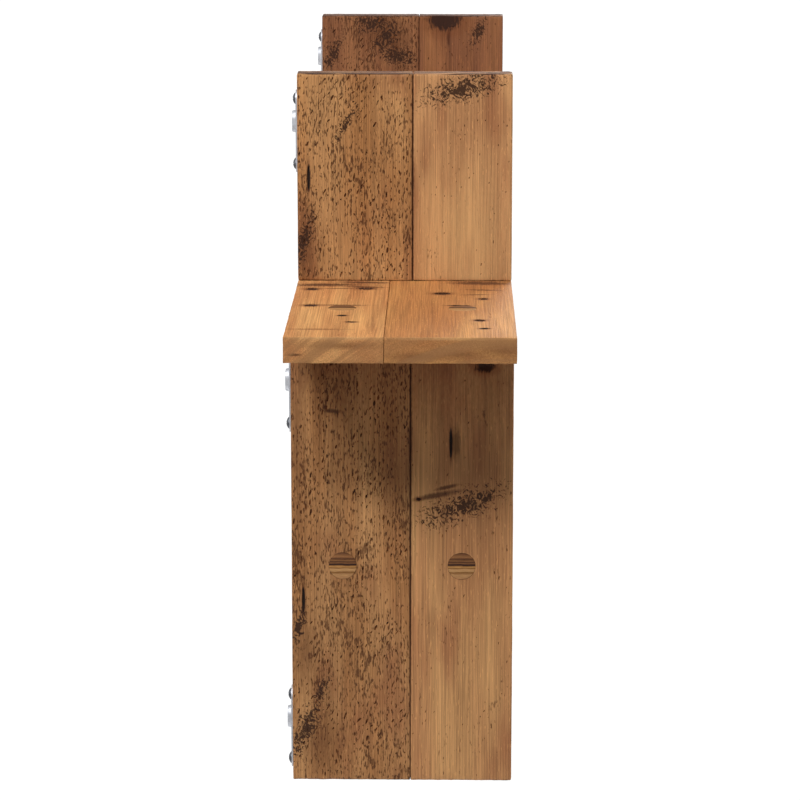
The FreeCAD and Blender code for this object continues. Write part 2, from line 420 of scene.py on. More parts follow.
    def _rings(self, given: bpy.types.NodeOutputs, sway: bpy.types.Node) -> bpy.types.Node:
        """Lay the growth rings: rounds about the pith on an end, long stripes on a face.

        Args:
            given: The group's inputs.
            sway: How far the grain wanders, in mm.

        Returns:
            The rings, 1 where the late wood is dark.
        """
        tree = self.tree
        about = add_node(tree, "VectorMath", {0: given["Place"], 1: sway}, operation="ADD")
        rooted = add_node(tree, "VectorMath", {0: about, 1: given["Pith"]}, operation="SUBTRACT")
        parts = add_node(tree, "SeparateXYZ", {0: rooted}).outputs
        flat = add_node(tree, "CombineXYZ", {1: parts[1], 2: parts[2]})
        radius = add_node(tree, "VectorMath", {0: flat}, operation="LENGTH").outputs["Value"]
        count = add_node(tree, "Math", {0: radius, 1: given["Ring Gap"]}, operation="DIVIDE")
        along = add_node(tree, "Math", {0: parts[0], 1: 1 / self.STRIPE}, operation="MULTIPLY")
        line = add_node(tree, "CombineXYZ", {0: count, 1: along, 2: given["Seed"]})
        rings = add_node(tree, "TexNoise", {"Vector": line, "Scale": 1.0, "Detail": 4.0, "Roughness": 0.62})
        return add_node(tree, "MapRange", {0: rings, 1: 0.36, 2: 0.66}, interpolation_type="SMOOTHSTEP")

    def _worming(self, given: bpy.types.NodeOutputs, bent: bpy.types.Node) -> bpy.types.Node:
        """Lay fine worm flecks and heavier blots, crowded in patches.

        Args:
            given: The group's inputs.
            bent: Coordinates in mm that follow the grain.

        Returns:
            The flecks, 1 inside one.
        """
        tree = self.tree
        crowd = self._fibres(bent, self.CROWD, 2.0)
        kinds = (
            (self._fibres(bent, self.FLECKS, 2.0, 0.45), 0.34, 0.2, 0.85, 0.95, 1.0),
            (self._fibres(bent, self.BLOTS, 3.0, 0.6), 0.5, 0.1, 0.91, 1.06, 0.85),
        )
        found = []
        # pattern, what crowding adds, what the finish adds, where a fleck starts and is full, its strength
        for specks, crowding, wish, start, full, strength in kinds:
            denser = add_node(tree, "Math", {0: crowd, 1: crowding, 2: specks}, operation="MULTIPLY_ADD")
            sockets = {0: given["Flecks"], 1: wish, 2: denser}
            wished = add_node(tree, "Math", sockets, operation="MULTIPLY_ADD")
            sockets = {0: wished, 1: start, 2: full, 4: strength}
            found.append(add_node(tree, "MapRange", sockets, interpolation_type="SMOOTHSTEP"))
        return add_node(tree, "Math", {0: found[0], 1: found[1]}, operation="MAXIMUM")


@dataclass
class WoodMaterial:
    """One plank's material: the shared grain with the plank's own marks laid in it."""

    FRAY: ClassVar = (0.22, 0.7, 0.7)  # per mm, frayed edges of marks
    CURL: ClassVar = (0.2, 0.22, 0.22)  # per mm, curling worm tracks
    END_GRAIN: ClassVar = (0.9, 0.4)  # mm from an end, where end grain starts and where it is full
    finish: WoodFinish
    marks: tuple[Mark, ...]
    origin: Vector
    axes: tuple[tuple[int, int], ...]
    thickness: float
    length: float

    def _ends(self, tree: Tree, along: Socket, ring: Socket, colour: Socket) -> Socket:
        """Darken the sawn ends in the pattern of the rings, as end grain takes up more oil.

        Args:
            tree: The material's node tree.
            along: Distance from the plank's first end, in mm.
            ring: The growth rings, dark at 1.
            colour: The colour so far.

        Returns:
            The colour with dark ends.
        """
        rest = add_node(tree, "Math", {0: self.length, 1: along}, operation="SUBTRACT")
        nearer = add_node(tree, "Math", {0: along, 1: rest}, operation="MINIMUM")
        start, full = self.END_GRAIN
        share = add_node(tree, "MapRange", {0: nearer, 1: start, 2: full, 3: 0.0, 4: self.finish.end_share})
        banded = add_node(tree, "MapRange", {0: ring, 1: 0.2, 2: 0.8, 3: 0.25, 4: 1.25})
        share = add_node(tree, "Math", {0: share, 1: banded}, operation="MULTIPLY")
        sockets = {0: share, 6: colour, 7: linear(self.finish.end)}
        return add_node(tree, "Mix", sockets, data_type="RGBA").outputs[2]

    def _masks(self, tree: Tree, place: Socket, kind: MarkKind) -> Socket | None:
        """Measure how far a point is from the nearest mark of a kind, 1 at that mark's edge.

        Args:
            tree: The material's node tree.
            place: Coordinates in mm.
            kind: The kind of mark.

        Returns:
            The distance, or None where the plank has no such mark.
        """
        nearest = None
        for mark in self.marks:
            if mark.kind is not kind:
                continue
            into = self.thickness if mark.far_face else mark.into
            sockets = {
                "Vector": place,
                "Location": (mark.along, mark.across, into),
                "Rotation": (0.0, 0.0, math.radians(mark.tilt)),
                "Scale": (mark.length / 2, mark.width / 2, mark.reach),
            }
            local = add_node(tree, "Mapping", sockets, vector_type="TEXTURE")
            away = add_node(tree, "VectorMath", {0: local}, operation="LENGTH").outputs["Value"]
            if nearest is not None:
                away = add_node(tree, "Math", {0: away, 1: nearest}, operation="MINIMUM").outputs[0]
            nearest = away
        return nearest

    def _mark(self, tree: Tree, place: Socket, colour: Socket, height: Socket) -> tuple[Socket, Socket]:
        """Lay the plank's marks over its grain.

        Args:
            tree: The material's node tree.
            place: Coordinates in mm.
            colour: The grain's colour.
            height: The grain's height.

        Returns:
            The colour and height with the marks in them.
        """
        fray = add_node(tree, "VectorMath", {0: place, 1: self.FRAY}, operation="MULTIPLY")
        ragged = add_node(tree, "TexNoise", {"Vector": fray, "Scale": 1.0, "Detail": 2.0})
        off = add_node(tree, "Math", {0: ragged, 1: 0.5}, operation="SUBTRACT")
        curl = add_node(tree, "VectorMath", {0: place, 1: self.CURL}, operation="MULTIPLY")
        sockets = {"Vector": curl, "Scale": 1.0, "Detail": 3.0, "Roughness": 0.6, "Distortion": 2.2}
        curls = add_node(tree, "TexNoise", sockets)
        # kind: edge start, edge end, raggedness, strength, colour, relief
        for kind, start, end, fuzz, strength, code, relief in (
            # pale patches: painted highlights on the shelf's end arrises, and painted bounce light on an
            # upright that is partly paler wood
            (MarkKind.PALE, 1.3, 0.1, 0.9, 0.55, "D2A670", 0.0),
            # stains; at the top of the lower left upright the same kind paints the main shelf's shadow
            (MarkKind.STAIN, 1.5, 0.2, 1.2, 0.62, "5C3318", 0.0),
            (MarkKind.OLIVE, 1.25, 0.6, 0.8, 0.7, "523A1C", -0.2),
            (MarkKind.STREAK, 1.3, 0.5, 1.1, 0.8, "3C1C0E", -0.3),
            (MarkKind.KNOT, 1.9, 0.9, 0.9, 0.6, "6E3C1C", -0.2),
            (MarkKind.KNOT, 1.05, 0.7, 1.1, 0.93, "29130A", -1.0),
            (MarkKind.SLIT, 1.7, 1.0, 0.5, 0.5, "5A3018", -0.3),
            (MarkKind.SLIT, 1.05, 0.8, 0.4, 0.98, "150A06", -1.6),
            (MarkKind.SCRIBBLE, 0.34, 0.43, -0.15, 0.94, "311A0C", -0.9),
        ):
            away = self._masks(tree, place, kind)
            if away is None:
                continue
            # a scribble is the curls' own lines, fading out from its middle; the rest are frayed blots
            sockets = {0: off, 1: fuzz, 2: away}
            if kind is MarkKind.SCRIBBLE:
                sockets = {0: away, 1: fuzz, 2: curls}
            edge = add_node(tree, "Math", sockets, operation="MULTIPLY_ADD")
            share = add_node(tree, "MapRange", {0: edge, 1: start, 2: end, 3: 0.0, 4: strength})
            mixed = add_node(tree, "Mix", {0: share, 6: colour, 7: linear(code)}, data_type="RGBA")
            colour = mixed.outputs[2]
            sockets = {0: share, 1: relief, 2: height}
            height = add_node(tree, "Math", sockets, operation="MULTIPLY_ADD").outputs[0]
        return colour, height

    def build(self, grain: GrainGroup) -> bpy.types.Material:
        """Make the plank's material.

        Args:
            grain: The shared grain group.

        Returns:
            The material.
        """
        finish = self.finish
        material = bare_material(finish.name)
        tree = material.node_tree
        where = add_node(tree, "TexCoord").outputs["Object"]
        parts = add_node(tree, "SeparateXYZ", {0: where}).outputs
        steps = []
        for axis, sign in self.axes:
            sockets = {0: parts[axis], 1: sign / MM, 2: -sign * self.origin[axis] / MM}
            steps.append(add_node(tree, "Math", sockets, operation="MULTIPLY_ADD").outputs[0])
        place = add_node(tree, "CombineXYZ", dict(enumerate(steps))).outputs[0]
        core = add_node(tree, "Group", node_tree=grain.tree)
        tree.links.new(place, core.inputs["Place"])
        for name, value in {
            "Seed": finish.seed,
            "Flecks": finish.flecks,
            "Stripes": finish.stripes,
            "Ring Gap": finish.ring_gap,
            "Pith": (0.0, *finish.pith),
            "Light": linear(finish.light),
            "Middle": linear(finish.middle),
            "Red": linear(finish.red),
            "Dark": linear(finish.dark),
            "Fleck": linear(finish.fleck),
        }.items():
            core.inputs[name].default_value = value
        colour, height = self._mark(tree, place, core.outputs["Color"], core.outputs["Height"])
        colour = self._ends(tree, steps[0], core.outputs["Ring"], colour)
        bump = add_node(tree, "Bump", {"Height": height, "Strength": 0.55, "Distance": 0.0006})
        dull = add_node(tree, "MapRange", {"Value": height, "To Min": 0.78, "To Max": 0.5})
        sockets = {
            "Base Color": colour,
            "Roughness": dull,
            "IOR": 1.45,
            "Specular IOR Level": 0.28,
            "Normal": bump,
        }
        shader = add_node(tree, "BsdfPrincipled", sockets)
        add_node(tree, "OutputMaterial", {"Surface": shader})
        return material


def fleck_wall_material() -> bpy.types.Material:
    """Make the dark, dusty wood inside a worm fleck: brown, rough and dull.

    Returns:
        The material.
    """
    material = bare_material("worm_fleck_wood")
    tree = material.node_tree
    where = add_node(tree, "TexCoord").outputs["Object"]
    dust = add_node(tree, "TexNoise", {"Vector": where, "Scale": 260.0, "Detail": 4.0, "Roughness": 0.7})
    paler = add_node(tree, "MapRange", {0: dust, 1: 0.36, 2: 0.66})
    colour = add_node(tree, "Mix", {0: paler, 6: linear("29140A"), 7: linear("7E4C2A")}, data_type="RGBA")
    sockets = {"Base Color": colour.outputs[2], "Roughness": 0.85, "Specular IOR Level": 0.15}
    shader = add_node(tree, "BsdfPrincipled", sockets)
    add_node(tree, "OutputMaterial", {"Surface": shader})
    return material


@dataclass(frozen=True)
class SteelFinish:
    """Thin plated steel: pale zinc shows a fine crystal bloom, dark zinc a dull charcoal film."""

    name: str
    bright: str
    dull: str
    roughness: tuple[float, float]
    grain: float  # mm, one bloom or tool mark

    def build(self) -> bpy.types.Material:
        """Make the steel's material.

        Returns:
            The material.
        """
        material = bare_material(self.name)
        tree = material.node_tree
        where = add_node(tree, "TexCoord").outputs["Object"]
        bloom = add_node(tree, "TexVoronoi", {"Vector": where, "Scale": 1 / (self.grain * MM)})
        cloud = add_node(tree, "TexNoise", {"Vector": where, "Scale": 0.3 / (self.grain * MM), "Detail": 3.0})
        sockets = {0: bloom.outputs["Distance"], 1: 0.5, 2: cloud}
        tone = add_node(tree, "Math", sockets, operation="MULTIPLY_ADD")
        sockets = {0: tone, 6: linear(self.bright), 7: linear(self.dull)}
        colour = add_node(tree, "Mix", sockets, data_type="RGBA")
        low, high = self.roughness
        rough = add_node(tree, "MapRange", {"Value": tone, "To Min": low, "To Max": high})
        bump = add_node(tree, "Bump", {"Height": tone, "Strength": 0.15, "Distance": 0.0001})
        sockets = {"Base Color": colour.outputs[2], "Metallic": 1.0, "Roughness": rough, "Normal": bump}
        shader = add_node(tree, "BsdfPrincipled", sockets)
        add_node(tree, "OutputMaterial", {"Surface": shader})
        return material


# ---------------------------------------------------------------- planks


@dataclass(frozen=True)
class Shop:
    """What all planks share: the grain, the ball that cuts hollows, and the wood inside a fleck."""

    grain: GrainGroup
    ball: bpy.types.Mesh
    fleck_wall: bpy.types.Material


@dataclass
class Plank:
    """One plank of a board or upright, built again from its CAD node's box."""

    CLEAR_ALONG: ClassVar = 5  # mm kept free of flecks before and behind a knot or slit
    CLEAR_ACROSS: ClassVar = 3  # mm kept free beside it
    CLEAR_PLUG: ClassVar = 4  # mm kept free round a plug
    node: str
    slot: str
    lie: Lie
    finish: WoodFinish
    marks: tuple[Mark, ...] = ()
    flecks: FleckField | None = None
    plugs: tuple[tuple[Vector, Vector], ...] = ()
    arris: float = 0.9
    wear: float = 0.45
    low: Vector = field(init=False)
    high: Vector = field(init=False)
    axes: tuple[tuple[int, int], ...] = field(init=False)
    origin: Vector = field(init=False)

    def __post_init__(self) -> None:
        """Read the CAD box and set the plank's own directions: along, across and into."""
        self.low, self.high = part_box(self.node)
        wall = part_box(self.node.replace("_front_", "_rear_"))[1].y
        self.origin = Vector((self.low.x, wall, self.high.z))
        self.axes = ((2, -1), (1, -1), (0, 1)) if self.lie is Lie.UPRIGHT else ((0, 1), (1, -1), (2, -1))

    @property
    def size(self) -> Vector:
        """Length, width and thickness, in metres."""
        span = self.high - self.low
        return Vector([span[axis] for axis, _ in self.axes])

    @property
    def way(self) -> Matrix:
        """Work out where the plank's own directions lie.

        Returns:
            The matrix from its own mm to the frame's metres.
        """
        made = Matrix.Translation(self.origin)
        for column, (axis, sign) in enumerate(self.axes):
            for row in range(3):
                made[row][column] = sign * MM if row == axis else 0.0
        return made

    def _block(self) -> bpy.types.Object:
        """Make the plank's plain block with even cells and bevelled arrises.

        Returns:
            The block, at its place.
        """
        length, width, thick = self.size
        bpy.ops.object.select_all(action="DESELECT")
        bpy.ops.mesh.primitive_grid_add(
            x_subdivisions=round(length / (CELL * MM)),
            y_subdivisions=round(width / (CELL * MM)),
            size=1,
            location=(0, 0, 0),
        )
        piece = bpy.context.object
        piece.name = self.node + "_made"
        piece.data.name = piece.name
        into = Vector((thick, 0, 0)) if self.lie is Lie.UPRIGHT else Vector((0, 0, thick))
        middle = (self.low + self.high) / 2
        bpy.ops.object.mode_set(mode="EDIT")
        bpy.ops.mesh.select_all(action="SELECT")
        bpy.ops.transform.resize(value=(length, width, 1), center_override=(0, 0, 0))
        if self.lie is Lie.UPRIGHT:
            bpy.ops.transform.rotate(value=math.pi / 2, orient_axis="Y", center_override=(0, 0, 0))
        bpy.ops.mesh.extrude_region_move(TRANSFORM_OT_translate={"value": into})
        bpy.ops.mesh.select_all(action="SELECT")
        bpy.ops.transform.translate(value=middle - into / 2)
        bpy.ops.mesh.normals_make_consistent(inside=False)
        bpy.ops.object.mode_set(mode="OBJECT")
        self._cut_sides(piece, thick)
        only(piece)
        bpy.ops.object.mode_set(mode="EDIT")
        bpy.ops.mesh.select_mode(type="EDGE")
        bpy.ops.mesh.select_all(action="DESELECT")
        bpy.ops.mesh.edges_select_sharp(sharpness=SHARP)
        bpy.ops.mesh.bevel(offset=self.arris * MM, segments=2, profile=0.5, affect="EDGES")
        bpy.ops.object.mode_set(mode="OBJECT")
        return piece

    def _cut_sides(self, piece: bpy.types.Object, thick: float) -> None:
        """Divide the block's sides across its thickness.

        Args:
            piece: The block.
            thick: Its thickness in metres.
        """
        mesh = piece.data
        for part in (mesh.vertices, mesh.edges, mesh.polygons):
            part.foreach_set("select", np.zeros(len(part), bool))
        for edge in mesh.edges:
            one, other = (mesh.vertices[at].co for at in edge.vertices)
            edge.select = abs((one - other).length - thick) < 0.01 * thick
        only(piece)
        bpy.ops.object.mode_set(mode="EDIT")
        bpy.ops.mesh.select_mode(type="EDGE")
        bpy.ops.mesh.subdivide(number_cuts=round(thick / (CELL * MM)) - 1)
        bpy.ops.object.mode_set(mode="OBJECT")

    def _relief(self, piece: bpy.types.Object) -> None:
        """Give the block its saw relief and its worn, uneven arrises.

        Args:
            piece: The block.
        """
        points = np.zeros(len(piece.data.vertices) * 3)
        piece.data.vertices.foreach_get("co", points)
        points = points.reshape(-1, 3)
        near = np.minimum(points - np.array(self.low), np.array(self.high) - points) < (self.arris + 0.2) * MM
        worn = piece.vertex_groups.new(name="arris")
        worn.add(np.flatnonzero(near.sum(1) >= 2).tolist(), 1.0, "REPLACE")
        # pattern's size along, across and into in mm, its height in mm, the level that stays put
        for name, stretch, height, level, group in (
            ("saw", (60.0, 7.0, 7.0), 0.24, 0.5, ""),
            ("fibre", (22.0, 2.6, 2.6), 0.26, 0.5, ""),
            ("wear", (6.0, 6.0, 6.0), self.wear, 0.9, "arris"),
        ):
            guide = bpy.data.objects.new(name, None)
            bpy.context.scene.collection.objects.link(guide)
            guide.location = Vector((self.finish.seed * 0.37, 0, 0))  # another stretch for every plank
            for (axis, _), step in zip(self.axes, stretch):
                guide.scale[axis] = step * MM
            bpy.context.view_layer.update()
            cloud = bpy.data.textures.new(name, "CLOUDS")
            cloud.noise_scale = 1.0
            cloud.noise_depth = 2
            push = piece.modifiers.new(name, "DISPLACE")
            push.texture = cloud
            push.texture_coords = "OBJECT"
            push.texture_coords_object = guide
            push.strength = height * MM
            push.mid_level = level
            push.vertex_group = group
            apply_all(piece)
            bpy.data.objects.remove(guide)
            bpy.data.textures.remove(cloud)
        piece.vertex_groups.clear()

    def _pocket(self, piece: bpy.types.Object) -> None:
        """Bore the round pockets that the plugs sit in.

        Args:
            piece: The plank.
        """
        for centre, outwards in self.plugs:
            bpy.ops.object.select_all(action="DESELECT")
            bpy.ops.mesh.primitive_cylinder_add(
                vertices=PLUG_SIDES,
                radius=(PLUG_RADIUS + PLUG_GAP) * MM,
                depth=(POCKET_DEPTH + POCKET_OVER) * MM,
                location=centre - outwards * (POCKET_DEPTH - POCKET_OVER) / 2 * MM,
                rotation=outwards.to_track_quat("Z", "Y").to_euler(),
            )
            bore = bpy.context.object
            carve(piece, bore)

    def _hollows(self) -> list[Matrix]:
        """Place a hollow at each knot and slit that isn't inside the wood.

        Returns:
            Matrices for a ball of radius 1.
        """
        made = []
        for mark in self.marks:
            into = self.size[2] / MM if mark.far_face else 0.0
            if mark.kind in (MarkKind.KNOT, MarkKind.SLIT) and mark.into == 0:
                size = (mark.length, mark.width, mark.depth)
                made.append(self._pit(self.way, mark.along, mark.across, into, size, mark.tilt))
        return made

    def _pits(self) -> list[Matrix]:
        """Place the worm flecks on both broad faces.

        Returns:
            Matrices for a ball of radius 1.
        """
        flecks = self.flecks
        pits: list[Matrix] = []
        if flecks is None:
            return pits
        draw = random.Random(self.node)
        length, width, thick = (side / MM for side in self.size)
        edge = abs(self.origin.y - self.high.y) / MM
        step_along, step_across = flecks.pitch
        loose_along, loose_across = flecks.jitter
        swing_along, swing_across = flecks.swing_size
        crowd_along, crowd_across = flecks.crowd_size
        for into in (0.0, thick):
            for row in range(int(length / step_along)):
                for column in range(int(width / step_across)):
                    stagger = 0.5 * (column % 2)
                    along = (row + 0.5 + stagger + draw.uniform(-loose_along, loose_along)) * step_along
                    across = edge + (column + 0.5 + draw.uniform(-loose_across, loose_across)) * step_across
                    # most flecks are short, and the short ones are narrower
                    long = draw.triangular(*flecks.length, flecks.length[0] * 1.3)
                    wide = draw.uniform(*flecks.width) * (0.6 + 0.4 * long / flecks.length[1])
                    swing = noise.noise(Vector((along / swing_along, across / swing_across, into + 7.3)))
                    lean = draw.gauss(flecks.lean, flecks.lean_spread) + flecks.lean_swing * swing
                    chance = draw.random()
                    spot = Vector((along / crowd_along, across / crowd_across, into + self.finish.seed))
                    crowd = 0.5 + 1.3 * noise.noise(spot)
                    kept = chance <= flecks.keep * 2 * crowd and along <= length - flecks.end_margin
                    if kept and not self._taken(along, across, into):
                        size = (long, wide, flecks.depth)
                        pits.append(self._pit(self.way, along, across, into, size, lean))
        return pits

    def _taken(self, along: float, across: float, into: float) -> bool:
        """Tell whether a place is too near a placed mark or plug for a fleck.

        Args:
            along: Place along the grain, in mm.
            across: Place across it.
            into: Place through the thickness.

        Returns:
            True where no fleck may be cut.
        """
        for mark in self.marks:
            same_face = mark.far_face == (into > 0)
            if same_face and mark.kind in (MarkKind.KNOT, MarkKind.SLIT):
                near_along = abs(along - mark.along) < mark.length / 2 + self.CLEAR_ALONG
                if near_along and abs(across - mark.across) < mark.width / 2 + self.CLEAR_ACROSS:
                    return True
        spot = self.way @ Vector((along, across, into))
        clear = (PLUG_RADIUS + self.CLEAR_PLUG) * MM
        return any((spot - centre).length < clear for centre, _ in self.plugs)

    @staticmethod
    def _pit(way: Matrix, along: float, across: float, into: float, size: Triple, lean: float) -> Matrix:
        """Work out the matrix of one pit.

        Args:
            way: From the plank's mm to the frame's metres.
            along: Place along the grain.
            across: Place across it.
            into: Place through the thickness.
            size: Length, width and depth.
            lean: Turn away from the grain, in degrees.

        Returns:
            The matrix.
        """
        turn = Euler((0, 0, math.radians(lean))).to_matrix().to_4x4()
        shape = Matrix.Diagonal((size[0] / 2, size[1] / 2, size[2], 1))
        return way @ Matrix.Translation((along, across, into)) @ turn @ shape

    def build(self, shop: Shop) -> bpy.types.Object:
        """Make the plank, dress it, and let it stand for its CAD node.

        Args:
            shop: What all planks share.

        Returns:
            The finished plank.
        """
        piece = self._block()
        self._relief(piece)
        length, _, thick = self.size / MM
        dress = WoodMaterial(self.finish, self.marks, self.origin, self.axes, thick, length)
        piece.data.materials.append(dress.build(shop.grain))
        self._pocket(piece)
        pits = self._pits()
        for places, lining in ((self._hollows(), piece.data.materials[0]), (pits, shop.fleck_wall)):
            if places:
                cutter = stamped(shop.ball, places, "cutter")
                cutter.data.materials.append(lining)
                carve(piece, cutter)
        hand_over(piece, self.node)
        log.info("%s: %d faces, %d pits", piece.name, len(piece.data.polygons), len(pits))
        return piece


# ---------------------------------------------------------------- plugs


@dataclass
class PlugSet:
    """The wooden plugs over one set of board screws: cross-grain discs, dark in one part, sizes in mm."""

    node: str
    places: tuple[tuple[Vector, Vector, Vector], ...]
    thickness: float = POCKET_DEPTH
    arris: float = 0.3
    dark_share: float = 0.44
    pale_grooves: tuple[float, ...] = (-2.2, -4.5)  # mm from the middle, worn early wood
    dark_groove: float = 3.5  # mm above the dark band's lower edge
    groove_width: float = 0.22  # half of a groove, each side of its line
    groove_depth: float = 0.25
    # height up the face from 0 to 1, and the wood's colour there
    BANDS: ClassVar = (
        (0.0, "A07048"),
        (0.20, "B08354"),
        (0.30, "74491F"),
        (0.33, "AE8252"),
        (0.42, "B58858"),
        (0.455, "744A22"),
        (0.49, "B08048"),
        (0.545, "8A5A2E"),
        (0.56, "241008"),
        (0.60, "2C160A"),
        (0.64, "7A4E2C"),
        (0.69, "3A2010"),
        (0.73, "80542F"),
        (0.80, "4A2A14"),
        (0.87, "8A5C36"),
        (1.0, "5E3A20"),
    )

    def _plug(self) -> bpy.types.Mesh:
        """Make one plug, face up at the origin, its grain along Y and its dark part towards +X.

        Returns:
            The plug's mesh, with its own mm kept as an attribute for the wood's pattern.
        """
        bpy.ops.object.select_all(action="DESELECT")
        bpy.ops.mesh.primitive_cylinder_add(
            vertices=PLUG_SIDES,
            radius=PLUG_RADIUS * MM,
            depth=self.thickness * MM,
            end_fill_type="NGON",
            location=(0, 0, 0),
        )
        plug = bpy.context.object
        line = (0.5 - self.dark_share) * 2 * PLUG_RADIUS
        grooves = [place * MM for place in (line, *self.pale_grooves, line + self.dark_groove)]
        bpy.ops.object.mode_set(mode="EDIT")
        bpy.ops.mesh.select_all(action="SELECT")
        bpy.ops.transform.translate(value=(0, 0, -self.thickness / 2 * MM))
        bpy.ops.mesh.select_mode(type="EDGE")
        bpy.ops.mesh.select_all(action="DESELECT")
        bpy.ops.mesh.edges_select_sharp(sharpness=SHARP)
        bpy.ops.mesh.bevel(offset=self.arris * MM, segments=3, profile=0.5, affect="EDGES")
        for place in grooves:
            bpy.ops.mesh.select_all(action="SELECT")
            bpy.ops.mesh.bisect(plane_co=(place, 0, 0), plane_no=(1, 0, 0))
            bpy.ops.mesh.bevel(offset=self.groove_width * MM, segments=2, profile=0.5, affect="EDGES")
        bpy.ops.object.mode_set(mode="OBJECT")
        mesh = plug.data
        for vertex in mesh.vertices:
            on_face = vertex.co.z > -0.2 * MM and vertex.co.xy.length < (PLUG_RADIUS - 0.5) * MM
            if on_face and min(abs(vertex.co.x - place) for place in grooves) < 0.12 * MM:
                vertex.co.z -= self.groove_depth * MM
        spots = mesh.attributes.new("plug_place", "FLOAT_VECTOR", "POINT")
        spots.data.foreach_set("vector", np.array([vertex.co / MM for vertex in mesh.vertices]).ravel())
        bpy.data.objects.remove(plug)
        return mesh

    def material(self) -> bpy.types.Material:
        """Make cross-cut pine plug wood: pale tan below, a dark heartwood band above, thin lines between.

        Returns:
            The material, one for all the sets.
        """
        name = "pine_plug_wood"
        if name in bpy.data.materials:
            return bpy.data.materials[name]
        material = bare_material(name)
        tree = material.node_tree
        place = add_node(tree, "Attribute", attribute_name="plug_place").outputs["Vector"]
        slow = add_node(tree, "VectorMath", {0: place, 1: (0.35, 0.12, 0.35)}, operation="MULTIPLY")
        wave = add_node(tree, "TexNoise", {"Vector": slow, "Scale": 1.0, "Detail": 2.0})
        across = add_node(tree, "SeparateXYZ", {0: place})
        swayed = add_node(tree, "Math", {0: wave, 1: 1.4, 2: across}, operation="MULTIPLY_ADD")
        height = add_node(tree, "MapRange", {0: swayed, 1: -PLUG_RADIUS, 2: PLUG_RADIUS})
        ramp = add_node(tree, "ValToRGB", {0: height})
        while len(ramp.color_ramp.elements) < len(self.BANDS):
            ramp.color_ramp.elements.new(0.5)
        for stop, (at, code) in zip(ramp.color_ramp.elements, self.BANDS):
            stop.position = at
            stop.color = linear(code)
        fine = add_node(tree, "VectorMath", {0: place, 1: (1.6, 0.25, 1.6)}, operation="MULTIPLY")
        fibre = add_node(tree, "TexNoise", {"Vector": fine, "Scale": 1.0, "Detail": 4.0})
        shade = add_node(tree, "MapRange", {"Value": fibre, "To Min": 0.62, "To Max": 1.38})
        tinted = add_node(tree, "VectorMath", {0: ramp, 1: shade}, operation="MULTIPLY")
        bump = add_node(tree, "Bump", {"Height": fibre, "Strength": 0.5, "Distance": 0.0005})
        sockets = {"Base Color": tinted, "Roughness": 0.68, "Specular IOR Level": 0.25, "Normal": bump}
        shader = add_node(tree, "BsdfPrincipled", sockets)
        add_node(tree, "OutputMaterial", {"Surface": shader})
        return material

    def build(self) -> bpy.types.Object:
        """Make the set's plugs as one piece and let it stand for the CAD node.

        Returns:
            The finished plugs.
        """
        shape = self._plug()
        parts = []
        for centre, outwards, dark_way in self.places:
            side = outwards.cross(dark_way)
            turned = Matrix((dark_way, side, outwards)).transposed().to_4x4()
            plug = bpy.data.objects.new(self.node + "_made", shape.copy())
            plug.data.transform(Matrix.Translation(centre) @ turned)
            bpy.context.scene.collection.objects.link(plug)
            parts.append(plug)
        only(parts[0])
        for plug in parts:
            plug.select_set(True)
        bpy.ops.object.join()
        piece = parts[0]
        piece.data.name = piece.name
        piece.data.materials.append(self.material())
        bpy.data.meshes.remove(shape)
        hand_over(piece, self.node)
        log.info("%s: %d plugs", piece.name, len(self.places))
        return piece


# ---------------------------------------------------------------- sub-assemblies

# rear planks: fine dark flecks all over, which make the wood look rough and brown
REAR = WoodFinish("reclaimed_softwood_wormed", flecks=0.62, stripes=0.3, seed=1.0)
# front planks: clean, straight and paler, with soft stripes
FRONT = WoodFinish(
    "reclaimed_softwood_straight",
    light="CA9762",
    middle="B27D51",
    red="A06843",
    flecks=-0.1,
    stripes=0.27,
    ring_gap=6.0,
    seed=2.0,
)
# shelves: the lightest and warmest, with wide growth stripes and dark marks across them
SHELF = WoodFinish(
    "reclaimed_softwood_shelf",
    light="D09A60",
    middle="BD804D",
    red="B57648",
    dark="8A552F",
    end="9C7148",
    end_share=0.5,
    flecks=-0.5,
    stripes=0.5,
    ring_gap=8.0,
    pith=(150.0, 160.0),
    seed=3.0,
)
# upper right upright: the same two woods, darker; painted shade, standing in for the light that the near
# upright keeps off it
SHADE_DARKENED_REAR = replace(
    REAR,
    name="reclaimed_softwood_dark_wormed",
    light="9E6B44",
    middle="7F4F32",
    red="6B3F24",
    dark="4C2A16",
    seed=7.0,
)
SHADE_DARKENED_FRONT = replace(
    FRONT,
    name="reclaimed_softwood_dark_straight",
    light="97633D",
    middle="7D4E34",
    red="724327",
    dark="55301A",
    seed=8.0,
)


def plug_rows(node: str) -> tuple[float, float]:
    """Work out the two rows of plugs in a board.

    Args:
        node: The board's rear plank.

    Returns:
        Their Y places, in metres, wall row first.
    """
    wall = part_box(node)[1].y
    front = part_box(node.replace("_rear_", "_front_"))[0].y
    return wall - SCREW_FROM_EDGE * MM, front + SCREW_FROM_EDGE * MM


